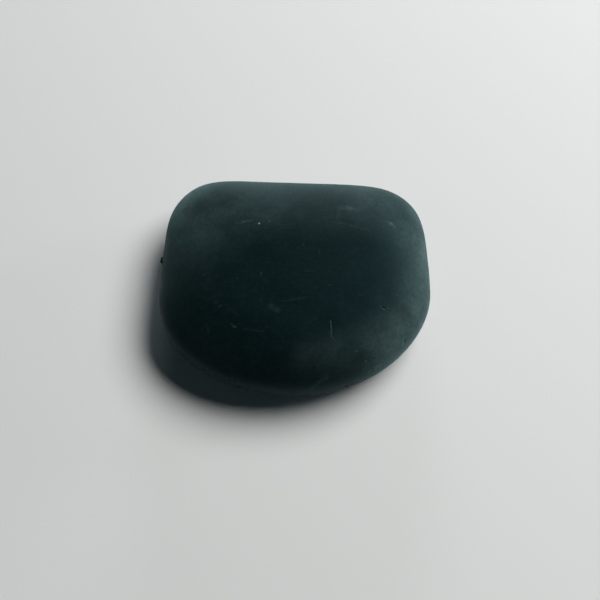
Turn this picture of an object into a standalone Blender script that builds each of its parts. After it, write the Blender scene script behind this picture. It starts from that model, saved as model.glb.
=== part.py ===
"""A basalt massage stone: one solid pebble, rounded all over, with one flat face to rest on.

Metres, +Z up. The origin is on the resting face, below the middle of the stone's box.
X runs along the length, +Y points to the straight long side and -Y to the round one.
"""

import math

import bmesh
import bpy

MM = 0.001

# The outline from above: four quarter superellipses that meet on the widest line, which lies along X.
LENGTH = 80.0 * MM
BACK_DEPTH = 38.0 * MM  # from the widest line to the straight side
FRONT_DEPTH = 31.5 * MM  # from the widest line to the round side
# How square each quarter is: 2 makes an ellipse, and more makes a tighter corner.
SQUARENESS_BACK_LEFT = 5.1
SQUARENESS_BACK_RIGHT = 4.5
SQUARENESS_FRONT_LEFT = 2.1
SQUARENESS_FRONT_RIGHT = 1.9

# The section: the rim is the widest ring, with a domed top above it and a flat foot below it.
THICKNESS = 21.0 * MM
RIM_HEIGHT = 9.5 * MM
CROWN = 2.5 * MM  # how far the top's middle stands above a flat top with the same sides
TOP_SHOULDER = 20.0 * MM  # how far in from the rim the side has rolled over into the top
FOOT_SHOULDER = 16.0 * MM  # the same below, from the rim in to the resting face
# The roll's curve: the power sets how softly it meets the face, and the root how upright it leaves the rim.
ROLL_POWER = 2.4
ROLL_ROOT = 2.6

# The mesh: points round the rim, rings from foot to top, and the share of those rings that the rolls take.
AROUND = 96
RINGS = 28
ROLL_SHARE = 0.75

BASALT_COLOUR = (0.010, 0.018, 0.019, 1.0)
BASALT_ROUGHNESS = 0.55


def clear_scene():
    for obj in list(bpy.data.objects):
        bpy.data.objects.remove(obj)


def rim_radius(angle):
    """How far the rim is from the middle of the widest line, in the direction of this angle from +X."""
    right, back = math.cos(angle), math.sin(angle)
    if back >= 0:
        depth = BACK_DEPTH
        power = SQUARENESS_BACK_RIGHT if right >= 0 else SQUARENESS_BACK_LEFT
    else:
        depth = FRONT_DEPTH
        power = SQUARENESS_FRONT_RIGHT if right >= 0 else SQUARENESS_FRONT_LEFT
    return (abs(2 * right / LENGTH) ** power + abs(back / depth) ** power) ** (-1 / power)


def inset_at(climb, shoulder, radius):
    """How far in from the rim a ring lies, for a climb from 0 at the rim to 1 in the middle of a face."""
    if climb < ROLL_SHARE:
        return shoulder * (1 - math.cos(math.radians(90) * climb / ROLL_SHARE))
    return shoulder + (radius - shoulder) * (climb - ROLL_SHARE) / (1 - ROLL_SHARE)


def rolled(inset, shoulder):
    """The share of the side's height reached this far in from the rim: 0 on the rim, 1 from the shoulder on."""
    left = max(0.0, 1 - inset / shoulder)
    return (1 - left**ROLL_POWER) ** (1 / ROLL_ROOT)


def on_stone(direction):
    """Where a point of the unit sphere goes on the stone, seen from the middle of the widest line."""
    angle = math.atan2(direction.y, direction.x)
    radius = rim_radius(angle)
    climb = abs(math.asin(max(-1.0, min(1.0, direction.z)))) / math.radians(90)
    above = direction.z > 0
    shoulder = TOP_SHOULDER if above else FOOT_SHOULDER
    inset = inset_at(climb, shoulder, radius)
    share = rolled(inset, shoulder)
    out = radius - inset
    if above:
        side = THICKNESS - CROWN - RIM_HEIGHT
        height = RIM_HEIGHT + side * share + CROWN * (1 - (out / radius) ** 2)
    else:
        height = RIM_HEIGHT * (1 - share)
    return out * math.cos(angle), out * math.sin(angle), height


def basalt():
    material = bpy.data.materials.new("basalt")
    material.use_nodes = True
    shader = material.node_tree.nodes["Principled BSDF"]
    shader.inputs["Base Color"].default_value = BASALT_COLOUR
    shader.inputs["Roughness"].default_value = BASALT_ROUGHNESS
    shader.inputs["Metallic"].default_value = 0.0
    return material


def massage_stone(collection):
    """The one body: a sphere whose rings are laid out along the stone's outline and section."""
    mesh = bpy.data.meshes.new("massage_stone")
    shape = bmesh.new()
    bmesh.ops.create_uvsphere(shape, u_segments=AROUND, v_segments=RINGS, radius=1.0)
    for vertex in shape.verts:
        vertex.co = on_stone(vertex.co)
    shape.to_mesh(mesh)
    shape.free()
    mesh.shade_smooth()
    mesh.materials.append(basalt())
    stone = bpy.data.objects.new("massage_stone", mesh)
    stone.location.y = (FRONT_DEPTH - BACK_DEPTH) / 2
    collection.objects.link(stone)


def main():
    clear_scene()
    collection = bpy.data.collections.new("basalt_massage_stone")
    bpy.context.scene.collection.children.link(collection)
    massage_stone(collection)


main()
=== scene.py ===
import math
import random

import bmesh
import bpy
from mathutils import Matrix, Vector, kdtree, noise


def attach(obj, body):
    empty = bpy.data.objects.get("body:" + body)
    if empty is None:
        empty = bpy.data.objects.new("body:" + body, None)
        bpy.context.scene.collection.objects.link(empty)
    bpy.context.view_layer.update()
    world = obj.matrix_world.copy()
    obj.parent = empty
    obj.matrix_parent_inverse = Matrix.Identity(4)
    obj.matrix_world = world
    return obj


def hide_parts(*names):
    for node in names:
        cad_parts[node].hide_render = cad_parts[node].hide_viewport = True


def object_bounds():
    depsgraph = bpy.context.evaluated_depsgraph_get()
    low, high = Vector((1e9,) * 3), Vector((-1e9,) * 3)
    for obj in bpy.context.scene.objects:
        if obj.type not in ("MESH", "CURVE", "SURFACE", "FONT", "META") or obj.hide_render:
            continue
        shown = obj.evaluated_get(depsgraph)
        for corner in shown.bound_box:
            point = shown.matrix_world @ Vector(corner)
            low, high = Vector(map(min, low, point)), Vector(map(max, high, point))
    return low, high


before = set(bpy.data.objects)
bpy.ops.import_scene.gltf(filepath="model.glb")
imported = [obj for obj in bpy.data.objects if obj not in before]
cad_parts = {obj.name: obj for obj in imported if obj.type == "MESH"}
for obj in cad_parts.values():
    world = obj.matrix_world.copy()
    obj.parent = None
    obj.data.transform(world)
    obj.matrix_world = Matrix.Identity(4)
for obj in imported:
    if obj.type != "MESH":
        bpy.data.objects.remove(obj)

MM = 0.001
CAD_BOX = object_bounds()

# The camera stands in front of the stone and looks steeply down on it.
CAMERA_AZIMUTH = 2.2  # degrees round the stone, towards +X
CAMERA_ELEVATION = 63.0  # degrees above the table
CAMERA_DISTANCE = 208.0 * MM
CAMERA_ANGLE = 46.0  # degrees across the view
CAMERA_AIM = Vector((2.0, -5.8, 10.0)) * MM

# The lights: name, azimuth and elevation as for the camera, width and height in metres, watts, colour.
LIGHT_DISTANCE = 1.3
LIGHTS = (
    ("window", 128, 48, 1.18, 0.74, 19.3, "#ffffff"),  # the one strong light, from the back right
    ("window_foot", 112, 9, 0.41, 0.30, 2.8, "#f0faff"),  # what the window gives from low down
    ("far_wall", 180, 9, 0.47, 0.30, 5.0, "#f0faff"),  # the same from behind, which edges the back rim
    ("room", 290, 33, 0.6, 0.6, 0.42, "#b4f0ff"),  # the cool fill in the shadow
)
BACKDROP = "#d8dcdb"
BACKDROP_GLOW = 0.010  # how much of the backdrop's brightness lights the stone
TABLE = "#e6e7e5"
TABLE_REACH = 0.75  # metres from the middle to each edge

# The stone's skin.
ROUNDING = 2  # how many times the CAD stone's faces are split and rounded
SKIN_GRAIN = 0.45 * MM  # the size of one face
EVENING_PASSES = 12
FOOT_FADE = 2.0 * MM  # the skin's unevenness dies away over this height above the table

# The river left the skin slightly uneven: how far apart the swells lie, and how high they are.
SWELLS = (
    (19.0 * MM, 0.13 * MM),
    (6.5 * MM, 0.035 * MM),
    (2.6 * MM, 0.010 * MM),
)

# Places where the rim stands proud of the even outline, or in from it: centre, reach, height.
RIM_SWELLS = (
    (Vector((40.0, -1.0, 9.5)) * MM, 9.0 * MM, 0.40 * MM),
    (Vector((26.0, 35.0, 9.5)) * MM, 6.0 * MM, 0.25 * MM),
    (Vector((33.5, 31.0, 9.5)) * MM, 5.0 * MM, -0.25 * MM),
    (Vector((-25.0, 36.0, 9.5)) * MM, 7.0 * MM, 0.25 * MM),
    (Vector((-36.0, 29.5, 9.5)) * MM, 4.5 * MM, -0.45 * MM),
    (Vector((-39.7, 18.5, 9.5)) * MM, 6.5 * MM, 0.45 * MM),
    (Vector((-39.9, -4.0, 9.5)) * MM, 6.5 * MM, -0.30 * MM),
    (Vector((-35.5, -19.0, 9.5)) * MM, 7.0 * MM, 0.25 * MM),
)

# Knocks that show one by one: both ends, half the width, the depth. A depth below nothing is a crumb
# of stone that still stands proud on the rim.
KNOCKS = (
    (Vector((-40.1, 4.3, 10.2)) * MM, Vector((-40.0, 4.8, 10.8)) * MM, 0.80 * MM, 0.32 * MM),
    (Vector((-40.1, 5.7, 9.6)) * MM, Vector((-40.1, 7.0, 9.9)) * MM, 0.50 * MM, -0.85 * MM),
    (Vector((-40.0, 1.6, 10.6)) * MM, Vector((-39.8, 2.9, 11.2)) * MM, 0.80 * MM, 0.38 * MM),
    (Vector((-39.3, 3.0, 12.8)) * MM, Vector((-39.3, 3.9, 13.0)) * MM, 0.45 * MM, 0.25 * MM),
    (Vector((24.9, -12.0, 19.3)) * MM, Vector((26.3, -12.5, 19.1)) * MM, 0.30 * MM, 0.12 * MM),
    (Vector((-15.2, -19.2, 19.8)) * MM, Vector((-14.6, -19.5, 19.8)) * MM, 0.30 * MM, 0.10 * MM),
    (Vector((10.9, -16.9, 20.2)) * MM, Vector((11.9, -22.6, 19.1)) * MM, 0.22 * MM, 0.05 * MM),
)

# Small gas pits and knocks, scattered mostly over the side and the foot.
PITS = 46
PIT_REACH = (0.35 * MM, 0.85 * MM)
PIT_DEPTH = 0.30  # of its reach
PIT_EDGE = 1.45  # how far out, in reaches, the faces are made finer
PIT_RAGGED = 0.6  # how far its outline strays from round
KNOCK_RAGGED = 0.5
RAGGED_SPACING = 1.3  # in reaches, how far apart an outline's own swells lie
COARSE_EDGE = 0.6 * SKIN_GRAIN  # longer edges than this are split under a knock or pit
FLAT_FOOT = 0.05 * MM  # no pit starts below this height
TOP_STARTS = 0.75  # of the stone's height
TOP_PIT_SHARE = 0.12  # the handled top has been worn nearly clean
TOP_PIT_SIZE = 0.6  # and what is left there is small

# The sizes of the stone's patterns.
GRAIN = 0.55 * MM
GRAIN_RISE = 0.05 * MM
GRIT = 0.9 * MM
BLOT = 1.6 * MM
CLOUD = 5.5 * MM
PATCH = 15.0 * MM
WANDER = 0.9 * MM  # how far the marks' edges stray, and over what distance
RUB_LENGTH = 7.0 * MM
RUB_WIDTH = 0.45 * MM
RUB_SCORE = -4.0  # how deep a rub is scored, against its paleness
CRYSTAL_SPACING = 2.6 * MM
CRYSTAL_SHARE = 0.12  # a crystal's radius, as a share of the spacing
CRYSTAL_CHANCE = 0.12  # how many of the cells hold one
CRYSTAL_PALE = 0.22

# Bloom is dust and dried oil, and partly painted highlight. It lies thicker where the shoulder turns down,
# and more on the back and the right, the side the window lights.
SHOULDER_TOP = 20.7 * MM  # it starts at this height
SHOULDER_FOOT = 12.0 * MM  # and is full here
SHOULDER_BLOOM_AND_HIGHLIGHT = 0.30
# The lit side gets more: there the bloom is painted highlight.
LIT_SIDE = (0.6, 0.8)  # the way to the side that has more
LIT_SIDE_FROM = -22.0 * MM  # along that way, where it starts to grow
LIT_SIDE_FULL = 8.0 * MM  # and where it is full
SHADED_SIDE_SHARE = 0.06  # what the far side keeps of it
FILM = 0.008  # the thinnest bloom, in wide patches all over
BLOTS = 0.018  # small spots all over

# The marks are drawn flat and would go right through the stone, so they end just below the rim.
MARKS_END = 7.0 * MM
MARKS_FULL = 9.0 * MM

ROCK_DARK = "#01080a"  # the grain runs from this to the next
ROCK_LIGHT = "#041314"
# The pale colour of dust, rubs and marks, and of the painted highlight.
DUST_AND_HIGHLIGHT = "#708a8a"
BARE_ROUGHNESS = (0.44, 0.58)  # the least and the most
DUST_ROUGHNESS = 0.15  # what dust adds

# Each set of rubs: the way it runs, in degrees; where its pattern starts; how pale it is.
RUBS = (
    (4.0, 3.1, 0.026),
    (-33.0, 7.7, 0.034),
    (68.0, 12.9, 0.030),
    (24.0, 21.3, 0.032),
)

# Marks on the top, in millimetres: from x, y to x, y, half the width, how pale. Two of them along the front
# rim are a painted highlight, not marks.
MARKS_AND_RIM_HIGHLIGHT = (
    (10.9, -16.9, 11.2, -21.5, 0.26, 0.15),  # the one long scratch, and its faint tail
    (11.6, -21.5, 12.1, -22.6, 0.28, 0.05),
    (24.5, -11.5, 25.6, -12.3, 0.30, 0.14),  # a little curved knock
    (25.6, -12.3, 26.9, -11.9, 0.30, 0.10),
    (-10.9, 13.7, -10.6, 13.7, 0.36, 0.80),  # a bright crystal, and a rub beside it
    (-15.6, 14.2, -13.0, 14.6, 0.55, 0.09),
    (-17.8, 13.6, -15.0, 14.2, 0.70, 0.03),
    (-9.2, -3.9, -9.0, -3.1, 0.45, 0.10),
    (-25.5, -3.9, -25.2, -3.9, 0.45, 0.08),
    (-16.4, -18.8, -15.0, -19.7, 0.35, 0.06),  # a small scuff with two arms
    (-15.0, -19.7, -14.3, -18.6, 0.35, 0.05),
    (-13.0, -20.2, -7.5, -20.8, 0.28, 0.04),
    (-21.2, -14.9, -19.6, -13.4, 0.50, 0.05),
    (-23.4, -18.6, -22.4, -21.4, 0.35, 0.04),
    (-5.9, -13.4, -3.7, -14.6, 1.30, 0.04),
    (-2.6, -11.9, 3.8, -10.4, 0.45, 0.03),
    (-8.2, 8.8, 1.7, 16.4, 1.80, 0.012),
    (12.6, 20.5, 18.4, 20.3, 1.30, 0.07),  # a smudge, with faint lines below it
    (15.4, 21.0, 16.2, 20.3, 0.90, 0.10),
    (12.6, 19.8, 12.4, 16.6, 0.90, 0.035),
    (11.2, 15.2, 16.2, 14.3, 0.45, 0.035),
    (16.0, 14.1, 21.8, 12.6, 0.50, 0.045),
    (13.5, 17.0, 19.5, 16.2, 0.60, 0.02),
    (26.6, 16.5, 28.4, 15.9, 0.55, 0.15),
    (28.0, 15.9, 29.2, 14.9, 1.00, 0.13),
    (18.5, -8.9, 20.0, -8.9, 0.28, 0.05),
    (6.0, -34.1, 10.3, -31.4, 0.80, 0.06),
    # a painted highlight: a thin pale line along the front rim, where it catches a reflection
    (-22.5, -29.5, -13.6, -33.0, 0.40, 0.01),
    (-13.6, -33.0, -1.0, -34.7, 0.40, 0.02),
    (23.6, -27.4, 25.4, -26.3, 0.38, 0.16),
    (22.0, -28.6, 35.5, -18.5, 0.60, 0.05),
    (36.6, -15.2, 38.2, -12.0, 0.60, 0.10),
    (34.2, -11.7, 34.4, -11.6, 0.38, 0.16),
    (7.0, 4.4, 7.3, 4.2, 0.30, 0.08),
)

# Where dust and dried oil lie thicker, in the same terms. They are partly painted highlight, placed where the
# shoulders catch the light.
BLOOMS_AND_HIGHLIGHTS = (
    (35.0, -6.0, 36.5, 8.0, 9.0, 0.085),
    (26.0, -22.0, 36.0, -9.0, 8.0, 0.06),
    (6.0, -27.0, 26.0, -18.0, 8.0, 0.05),
    (22.0, 25.0, 33.0, 14.0, 13.0, 0.10),
    (-29.0, 12.0, -16.0, 24.0, 19.0, 0.09),
    (-38.0, 20.0, -30.0, 32.0, 9.0, 0.22),
    (-6.0, 20.0, 20.0, 20.0, 14.0, 0.055),
    (-24.0, -8.0, 4.0, -18.0, 7.0, 0.006),
    (-36.0, -6.0, -34.0, 8.0, 12.0, 0.02),
)


def colour(code):
    """An sRGB hex code as a linear RGBA colour."""
    parts = [int(code[i : i + 2], 16) / 255 for i in (1, 3, 5)]
    linear = [part / 12.92 if part <= 0.04045 else ((part + 0.055) / 1.055) ** 2.4 for part in parts]
    return linear + [1.0]


def add_node(tree, kind, links=None, **settings):
    """Adds a node with its settings, and fills its inputs with links from sockets or with values."""
    node = tree.nodes.new("ShaderNode" + kind)
    for name, value in settings.items():
        setattr(node, name, value)
    for socket, source in (links or {}).items():
        if isinstance(source, bpy.types.NodeSocket):
            tree.links.new(source, node.inputs[socket])
        else:
            node.inputs[socket].default_value = source
    return node


def add_object(name, data):
    """An object with its mesh, light or camera, linked into the scene."""
    made = bpy.data.objects.new(name, data)
    bpy.context.scene.collection.objects.link(made)
    return made


def finish_modifiers(thing):
    """Puts the mesh that a thing's modifiers make in place of its own."""
    bpy.context.view_layer.update()
    graph = bpy.context.evaluated_depsgraph_get()
    made = bpy.data.meshes.new_from_object(thing.evaluated_get(graph))
    thing.modifiers.clear()
    thing.data = made


def rounded_body():
    """A copy of the CAD stone with its facets rounded out."""
    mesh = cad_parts["massage_stone"].data.copy()
    mesh.materials.clear()
    shape = bmesh.new()
    shape.from_mesh(mesh)
    bmesh.ops.remove_doubles(shape, verts=shape.verts, dist=0.001 * MM)
    bmesh.ops.join_triangles(
        shape,
        faces=shape.faces,
        angle_face_threshold=math.radians(40),
        angle_shape_threshold=math.radians(60),
    )
    shape.to_mesh(mesh)
    shape.free()
    body = add_object("rounded_body", mesh)
    rounding = body.modifiers.new("rounding", "SUBSURF")
    rounding.levels = ROUNDING
    rounding.render_levels = ROUNDING
    finish_modifiers(body)
    return body


def even_skin(body):
    """The same stone in even, fine faces, so that knocks and pits can be worked into it anywhere."""
    skin = add_object("tumbled_stone", body.data.copy())
    even = skin.modifiers.new("even", "REMESH")
    even.mode = "VOXEL"
    even.voxel_size = SKIN_GRAIN
    ironed = skin.modifiers.new("ironed", "SMOOTH")
    ironed.factor = 0.5
    ironed.iterations = EVENING_PASSES
    snug = skin.modifiers.new("snug", "SHRINKWRAP")
    snug.target = body
    finish_modifiers(skin)
    bpy.data.objects.remove(body)
    return skin


def wear_by_river(shape):
    """Soft swells all over and along the rim, which leave the resting face flat."""
    shape.normal_update()
    lifts = []
    for vert in shape.verts:
        lift = sum(height * noise.noise(vert.co / spacing) for spacing, height in SWELLS)
        lift *= min(1.0, vert.co.z / FOOT_FADE)
        for centre, reach, height in RIM_SWELLS:
            lift += height * math.exp(-((vert.co - centre).length / reach) ** 2)
        lifts.append(vert.normal * lift)
    for vert, lift in zip(shape.verts, lifts):
        vert.co += lift
        vert.co.z = max(vert.co.z, 0.0)


def corners_near(shape, finder, middle, around):
    """The mesh corners within reach of a place: the ones the finder knows, then newer ones joined to them.

    They are a dict's keys, because a set would give them in another order each run.
    """
    shape.verts.ensure_lookup_table()
    near = dict.fromkeys(shape.verts[index] for _, index, _ in finder.find_range(middle, around))
    waiting = list(near)
    while waiting:
        vert = waiting.pop()
        for edge in vert.link_edges:
            other = edge.other_vert(vert)
            if other not in near and (other.co - middle).length < around:
                near[other] = None
                waiting.append(other)
    return near


def dent(shape, finder, start, end, half_width, depth, ragged):
    """Presses in the skin along a short line, after making the faces there finer."""
    middle = (start + end) / 2
    around = (end - start).length / 2 + half_width * PIT_EDGE + SKIN_GRAIN
    near = corners_near(shape, finder, middle, around)
    edges = dict.fromkeys(
        edge for vert in near for edge in vert.link_edges if edge.other_vert(vert) in near
    )
    coarse = [edge for edge in edges if edge.calc_length() > COARSE_EDGE]
    bmesh.ops.subdivide_edges(shape, edges=coarse, cuts=2, use_grid_fill=True)
    shape.normal_update()
    near = corners_near(shape, finder, middle, around)
    inward = -sum((vert.normal for vert in near), Vector()).normalized()
    along = end - start
    for vert in near:
        share = max(0.0, min(1.0, (vert.co - start).dot(along) / max(along.length_squared, 1e-12)))
        gap = vert.co - start - along * share
        away = (gap - inward * gap.dot(inward)).length
        away *= 1 + ragged * noise.noise(vert.co / (half_width * RAGGED_SPACING))
        press = max(0.0, 1 - (away / half_width) ** 2)
        vert.co += inward * depth * press * press * (3 - 2 * press)


def knock_about(shape):
    """The few knocks that show one by one, then the scattered pits."""
    chance = random.Random(7)
    finder = kdtree.KDTree(len(shape.verts))
    for vert in shape.verts:
        finder.insert(vert.co, vert.index)
    finder.balance()
    places = [vert.co.copy() for vert in shape.verts]
    for start, end, half_width, depth in KNOCKS:
        start, end = (finder.find(place)[0].copy() for place in (start, end))
        dent(shape, finder, start, end, half_width, depth, KNOCK_RAGGED)
    top_starts = TOP_STARTS * CAD_BOX[1][2]
    made = 0
    while made < PITS:
        place = chance.choice(places)
        on_top = place.z > top_starts
        if (on_top and chance.random() > TOP_PIT_SHARE) or place.z < FLAT_FOOT:
            continue
        reach = chance.uniform(*PIT_REACH) * (TOP_PIT_SIZE if on_top else 1.0)
        drift = Vector([chance.uniform(-0.5, 0.5) for _ in range(3)]) * reach
        dent(shape, finder, place, place + drift, reach, PIT_DEPTH * reach, PIT_RAGGED)
        made += 1


def tumbled_stone():
    """The whole piece: the CAD stone rounded, evened out, worn and knocked about."""
    stone = even_skin(rounded_body())
    shape = bmesh.new()
    shape.from_mesh(stone.data)
    wear_by_river(shape)
    knock_about(shape)
    many_sided = [face for face in shape.faces if len(face.verts) > 4]
    bmesh.ops.triangulate(shape, faces=many_sided)
    shape.to_mesh(stone.data)
    shape.free()
    stone.data.shade_smooth()
    return stone


def stroke_group():
    """The node group that draws a stroke: full on a straight line, and nothing at its half width."""
    group = bpy.data.node_groups.new("stroke", "ShaderNodeTree")
    for name in ("Place", "Start", "End"):
        group.interface.new_socket(name, in_out="INPUT", socket_type="NodeSocketVector")
    for name in ("Half Width", "Strength"):
        group.interface.new_socket(name, in_out="INPUT", socket_type="NodeSocketFloat")
    group.interface.new_socket("Mark", in_out="OUTPUT", socket_type="NodeSocketFloat")
    given = group.nodes.new("NodeGroupInput").outputs
    along = add_node(group, "VectorMath", {0: given["End"], 1: given["Start"]}, operation="SUBTRACT")
    since = add_node(group, "VectorMath", {0: given["Place"], 1: given["Start"]}, operation="SUBTRACT")
    gone = add_node(group, "VectorMath", {0: since.outputs[0], 1: along.outputs[0]}, operation="DOT_PRODUCT")
    whole = add_node(group, "VectorMath", {0: along.outputs[0], 1: along.outputs[0]}, operation="DOT_PRODUCT")
    share = add_node(
        group,
        "Math",
        {0: gone.outputs["Value"], 1: whole.outputs["Value"]},
        operation="DIVIDE",
        use_clamp=True,
    )
    nearest = add_node(
        group, "VectorMath", {0: along.outputs[0], "Scale": share.outputs[0]}, operation="SCALE"
    )
    away = add_node(group, "VectorMath", {0: since.outputs[0], 1: nearest.outputs[0]}, operation="DISTANCE")
    fade = add_node(
        group,
        "MapRange",
        {
            "Value": away.outputs["Value"],
            "From Max": given["Half Width"],
            "To Min": given["Strength"],
            "To Max": 0.0,
        },
        interpolation_type="SMOOTHSTEP",
    )
    group.links.new(fade.outputs["Result"], group.nodes.new("NodeGroupOutput").inputs["Mark"])
    return group


def strokes(tree, group, place, rows):
    """The strokes of a whole table, added up."""
    drawn = None
    for x, y, end_x, end_y, half_width, strength in rows:
        values = {
            "Place": place,
            "Start": (x * MM, y * MM, 0.0),
            "End": (end_x * MM, end_y * MM, 0.0),
            "Half Width": half_width * MM,
            "Strength": strength,
        }
        stroke = add_node(tree, "Group", values, node_tree=group).outputs["Mark"]
        if drawn is None:
            drawn = stroke
        else:
            drawn = add_node(tree, "Math", {0: drawn, 1: stroke}, operation="ADD").outputs[0]
    return drawn


def crystals(tree, place):
    """Feldspar crystals: about one cell in eight holds a pale speck at its middle."""
    cells = add_node(tree, "TexVoronoi", {"Vector": place, "Scale": 1 / CRYSTAL_SPACING, "Randomness": 1.0})
    speck = add_node(
        tree,
        "MapRange",
        {"Value": cells.outputs["Distance"], "From Min": CRYSTAL_SHARE, "From Max": 0.4 * CRYSTAL_SHARE},
    )
    chosen = add_node(tree, "SeparateColor", {"Color": cells.outputs["Color"]})
    lucky = add_node(
        tree,
        "MapRange",
        {
            "Value": chosen.outputs["Red"],
            "From Min": 1 - CRYSTAL_CHANCE,
            "From Max": 1.0,
            "To Max": CRYSTAL_PALE,
        },
    )
    specks = {0: speck.outputs["Result"], 1: lucky.outputs["Result"]}
    return add_node(tree, "Math", specks, operation="MULTIPLY").outputs[0]


def rubs(tree, place):
    """Thin streaks that cross at a few angles, each set only where its own patches let it show."""
    rubbed = None
    for turn, seed, strength in RUBS:
        lined = add_node(
            tree,
            "Mapping",
            {
                "Vector": place,
                "Location": (seed, seed, seed),
                "Rotation": (0.0, 0.0, math.radians(turn)),
                "Scale": (1 / RUB_LENGTH, 1 / RUB_WIDTH, 1 / RUB_WIDTH),
            },
        )
        streak = add_node(
            tree,
            "TexNoise",
            {"Vector": lined.outputs[0], "Scale": 1.0, "Detail": 5.0, "Roughness": 0.65, "Distortion": 0.6},
        )
        thin = add_node(tree, "MapRange", {"Value": streak.outputs[0], "From Min": 0.56, "From Max": 0.78})
        moved = add_node(tree, "VectorMath", {0: place, 1: (seed, 0.0, 0.0)}, operation="ADD")
        where = add_node(tree, "TexNoise", {"Vector": moved.outputs[0], "Scale": 1 / PATCH, "Detail": 1.0})
        shown = add_node(
            tree,
            "MapRange",
            {"Value": where.outputs[0], "From Min": 0.42, "From Max": 0.68, "To Max": strength},
        )
        rub = add_node(
            tree, "Math", {0: thin.outputs["Result"], 1: shown.outputs["Result"]}, operation="MULTIPLY"
        ).outputs[0]
        if rubbed is None:
            rubbed = rub
        else:
            rubbed = add_node(tree, "Math", {0: rubbed, 1: rub}, operation="ADD").outputs[0]
    return rubbed


def flat_place(tree, place):
    """The place seen from above, moved about a little so that whatever is drawn with it wanders."""
    wander = add_node(tree, "TexNoise", {"Vector": place, "Scale": 1 / WANDER, "Detail": 2.0})
    shift = add_node(
        tree, "VectorMath", {0: wander.outputs["Color"], 1: (0.5, 0.5, 0.5)}, operation="SUBTRACT"
    )
    shifted = add_node(
        tree,
        "VectorMath",
        {0: shift.outputs[0], 1: (WANDER, WANDER, 0.0), 2: place},
        operation="MULTIPLY_ADD",
    )
    flat = add_node(tree, "VectorMath", {0: shifted.outputs[0], 1: (1.0, 1.0, 0.0)}, operation="MULTIPLY")
    return flat.outputs[0]


def marks_and_rim_highlight(tree, group, flat, grain, height):
    """The marks that show one by one, and the painted highlight along the front rim. They break up along
    their length, as the grain lets them.
    """
    breaks = add_node(
        tree,
        "MapRange",
        {"Value": grain, "From Min": 0.35, "From Max": 0.6, "To Min": 0.35, "To Max": 1.2},
    )
    upper = add_node(tree, "MapRange", {"Value": height, "From Min": MARKS_END, "From Max": MARKS_FULL})
    broken = add_node(
        tree, "Math", {0: breaks.outputs["Result"], 1: upper.outputs["Result"]}, operation="MULTIPLY"
    ).outputs[0]
    drawn = strokes(tree, group, flat, MARKS_AND_RIM_HIGHLIGHT)
    return add_node(tree, "Math", {0: drawn, 1: broken}, operation="MULTIPLY").outputs[0]


def bloom_and_painted_highlight(tree, group, place, flat, clouds, height):
    """Dust and dried oil, partly painted highlight: the drawn areas, a film in patches, blots, and the
    shoulder, more on the lit side, all of it cloudy.
    """
    patches = add_node(
        tree, "TexNoise", {"Vector": place, "Scale": 1 / PATCH, "Detail": 2.0, "Roughness": 0.5}
    )
    film = add_node(
        tree, "MapRange", {"Value": patches.outputs[0], "From Min": 0.4, "From Max": 0.75, "To Max": FILM}
    )
    blots = add_node(tree, "TexNoise", {"Vector": place, "Scale": 1 / BLOT, "Detail": 4.0, "Roughness": 0.65})
    blotted = add_node(
        tree, "MapRange", {"Value": blots.outputs[0], "From Min": 0.5, "From Max": 0.75, "To Max": BLOTS}
    )
    shoulder = add_node(
        tree,
        "MapRange",
        {"Value": height, "From Min": SHOULDER_TOP, "From Max": SHOULDER_FOOT, "To Max": SHOULDER_BLOOM_AND_HIGHLIGHT},
        interpolation_type="SMOOTHSTEP",
    )
    # Painted highlight: the shoulder bloom grows towards the back and right, the side the window lights.
    towards_lit_side = add_node(tree, "VectorMath", {0: place, 1: (*LIT_SIDE, 0.0)}, operation="DOT_PRODUCT")
    lit_side_share = add_node(
        tree,
        "MapRange",
        {
            "Value": towards_lit_side.outputs["Value"],
            "From Min": LIT_SIDE_FROM,
            "From Max": LIT_SIDE_FULL,
            "To Min": SHADED_SIDE_SHARE,
        },
        interpolation_type="SMOOTHSTEP",
    )
    shoulder_dust_and_highlight = add_node(
        tree, "Math", {0: shoulder.outputs["Result"], 1: lit_side_share.outputs["Result"]}, operation="MULTIPLY"
    ).outputs[0]
    total = strokes(tree, group, flat, BLOOMS_AND_HIGHLIGHTS)
    for part in (film.outputs["Result"], blotted.outputs["Result"], shoulder_dust_and_highlight):
        total = add_node(tree, "Math", {0: total, 1: part}, operation="ADD").outputs[0]

    cloudy = add_node(
        tree, "MapRange", {"Value": clouds, "From Min": 0.3, "From Max": 0.7, "To Min": 0.65, "To Max": 1.3}
    )
    grit = add_node(tree, "TexNoise", {"Vector": place, "Scale": 1 / GRIT, "Detail": 4.0, "Roughness": 0.75})
    gritty = add_node(
        tree,
        "MapRange",
        {"Value": grit.outputs[0], "From Min": 0.35, "From Max": 0.65, "To Min": 0.82, "To Max": 1.18},
    )
    for part in (cloudy.outputs["Result"], gritty.outputs["Result"]):
        total = add_node(tree, "Math", {0: total, 1: part}, operation="MULTIPLY").outputs[0]
    return total


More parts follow.
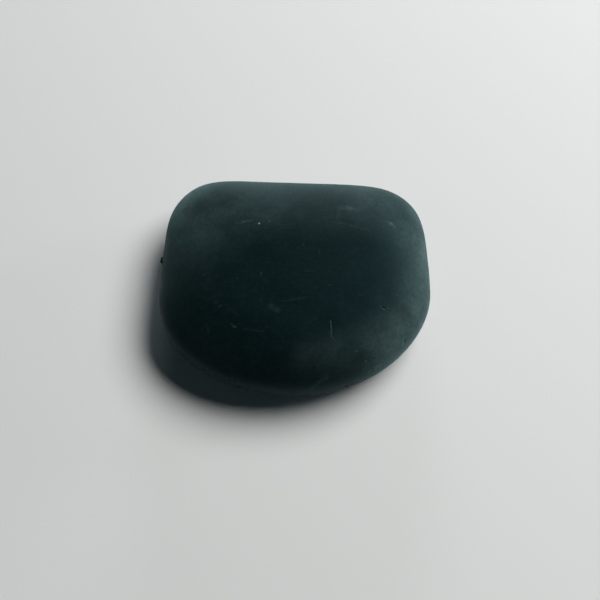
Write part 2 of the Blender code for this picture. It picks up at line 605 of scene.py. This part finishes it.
def basalt():
    """Basalt, a fine-grained black lava, tumbled smooth and then dulled by oil, dust and handling.

    The eye sees a near-black stone with a faint blue-green cast and no mirror anywhere: a wide, weak gloss,
    a pale bloom where the shoulders catch dust, with painted highlight where the back and right shoulders
    catch the window and a painted pale line along the front rim, thin crossing rubs, and a few tiny pale
    crystals.
    """
    material = bpy.data.materials.new("tumbled_basalt")
    material.use_nodes = True
    tree = material.node_tree
    shader = tree.nodes["Principled BSDF"]
    place = add_node(tree, "TexCoord").outputs["Object"]
    height = add_node(tree, "SeparateXYZ", {"Vector": place}).outputs["Z"]

    # The rock's own grain is 0.1 to 0.3 mm. It is drawn at about twice that, so that it shows.
    grain = add_node(
        tree, "TexNoise", {"Vector": place, "Scale": 1 / GRAIN, "Detail": 3.0, "Roughness": 0.6}
    ).outputs[0]
    clouds = add_node(
        tree, "TexNoise", {"Vector": place, "Scale": 1 / CLOUD, "Detail": 4.0, "Roughness": 0.6}
    ).outputs[0]

    # All that is paler than the rock: rubs, marks, bloom and crystals, with painted highlight on the lit
    # shoulders and along the front rim.
    flat = flat_place(tree, place)
    group = stroke_group()
    rubbed = rubs(tree, place)
    marks_and_highlight = marks_and_rim_highlight(tree, group, flat, grain, height)
    bloom_and_highlight = bloom_and_painted_highlight(tree, group, place, flat, clouds, height)
    pale_and_highlight = rubbed
    for part in (marks_and_highlight, bloom_and_highlight, crystals(tree, place)):
        pale_and_highlight = add_node(tree, "Math", {0: pale_and_highlight, 1: part}, operation="ADD").outputs[0]
    pale_and_highlight = add_node(tree, "Math", {0: pale_and_highlight, 1: 1.0}, operation="MINIMUM").outputs[0]

    rock = add_node(
        tree, "Mix", {"Factor": grain, "A": colour(ROCK_DARK), "B": colour(ROCK_LIGHT)}, data_type="RGBA"
    )
    mixed = add_node(
        tree, "Mix", {"Factor": pale_and_highlight, "A": rock.outputs["Result"], "B": colour(DUST_AND_HIGHLIGHT)}, data_type="RGBA"
    )
    tree.links.new(mixed.outputs["Result"], shader.inputs["Base Color"])

    # Dust and rubs are matt, and so are the places of painted highlight. The bare stone between them has a
    # little more gloss.
    matt = add_node(
        tree, "MapRange", {"Value": pale_and_highlight, "From Max": 0.25, "To Min": 0.0, "To Max": DUST_ROUGHNESS}
    )
    bare = add_node(
        tree,
        "MapRange",
        {
            "Value": clouds,
            "From Min": 0.3,
            "From Max": 0.7,
            "To Min": BARE_ROUGHNESS[0],
            "To Max": BARE_ROUGHNESS[1],
        },
    )
    roughness = add_node(
        tree, "Math", {0: matt.outputs["Result"], 1: bare.outputs["Result"]}, operation="ADD"
    )
    tree.links.new(roughness.outputs[0], shader.inputs["Roughness"])

    # Solid basalt's index is about 1.6. The tumbled skin sends back only a small part of that as gloss, and
    # the fine dust on it gives the weak glow along the edges.
    shader.inputs["IOR"].default_value = 1.6
    shader.inputs["Specular IOR Level"].default_value = 0.05
    shader.inputs["Specular Tint"].default_value = colour("#9cf0ff")
    shader.inputs["Sheen Weight"].default_value = 0.12
    shader.inputs["Sheen Roughness"].default_value = 0.5
    shader.inputs["Sheen Tint"].default_value = colour("#aef0f6")

    # The grain stands a few hundredths of a millimetre proud, and the rubs are scored into it.
    rise = add_node(tree, "Math", {0: rubbed, 1: RUB_SCORE, 2: grain}, operation="MULTIPLY_ADD")
    bump = add_node(tree, "Bump", {"Height": rise.outputs[0], "Strength": 0.5, "Distance": GRAIN_RISE})
    tree.links.new(bump.outputs["Normal"], shader.inputs["Normal"])
    return material


def floor():
    """A plain pale table top under the stone."""
    mesh = bpy.data.meshes.new("floor")
    shape = bmesh.new()
    bmesh.ops.create_grid(shape, x_segments=1, y_segments=1, size=TABLE_REACH)
    shape.to_mesh(mesh)
    shape.free()
    made = add_object("floor", mesh)
    material = bpy.data.materials.new("pale_table")
    material.use_nodes = True
    shader = material.node_tree.nodes["Principled BSDF"]
    shader.inputs["Base Color"].default_value = colour(TABLE)
    shader.inputs["Roughness"].default_value = 0.9
    shader.inputs["Specular IOR Level"].default_value = 0.0
    made.data.materials.append(material)
    return made


def look_at(thing, place, aim):
    """Stands a camera or a light at a place and turns it towards its aim."""
    thing.location = place
    thing.rotation_euler = (Vector(aim) - Vector(place)).to_track_quat("-Z", "Y").to_euler()


def direction(azimuth, elevation):
    """A unit vector towards a place this many degrees round from -Y towards +X, and above the table."""
    turn = math.radians(azimuth)
    rise = math.radians(elevation)
    return Vector((math.sin(turn) * math.cos(rise), -math.cos(turn) * math.cos(rise), math.sin(rise)))


def camera():
    """The camera, at the angle that the values at the top give."""
    lens = bpy.data.cameras.new("camera")
    lens.sensor_width = 36.0
    lens.lens = lens.sensor_width / 2 / math.tan(math.radians(CAMERA_ANGLE / 2))
    lens.clip_start = 0.01
    made = add_object("camera", lens)
    look_at(made, CAMERA_AIM + direction(CAMERA_AZIMUTH, CAMERA_ELEVATION) * CAMERA_DISTANCE, CAMERA_AIM)
    bpy.context.scene.camera = made


def softbox(name, azimuth, elevation, width, height, power, tint):
    """A soft oval light that faces the stone."""
    light = bpy.data.lights.new(name, "AREA")
    light.shape = "ELLIPSE"
    light.size = width
    light.size_y = height
    light.energy = power
    light.color = colour(tint)[:3]
    look_at(add_object(name, light), direction(azimuth, elevation) * LIGHT_DISTANCE, (0, 0, 0))


def lights():
    """A dim room with one large window. The backdrop looks pale but hardly lights the stone."""
    world = bpy.data.worlds.new("room")
    bpy.context.scene.world = world
    world.use_nodes = True
    tree = world.node_tree
    ray = add_node(tree, "LightPath")
    tree.nodes["Background"].inputs["Color"].default_value = colour(BACKDROP)
    strength = add_node(
        tree, "MapRange", {"Value": ray.outputs["Is Camera Ray"], "To Min": BACKDROP_GLOW, "To Max": 1.0}
    )
    tree.links.new(strength.outputs["Result"], tree.nodes["Background"].inputs["Strength"])
    for light in LIGHTS:
        softbox(*light)


bpy.context.scene.view_settings.view_transform = "Standard"
camera()
stone = tumbled_stone()
stone.data.materials.append(basalt())
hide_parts("massage_stone")
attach(stone, "root")
floor()
lights()
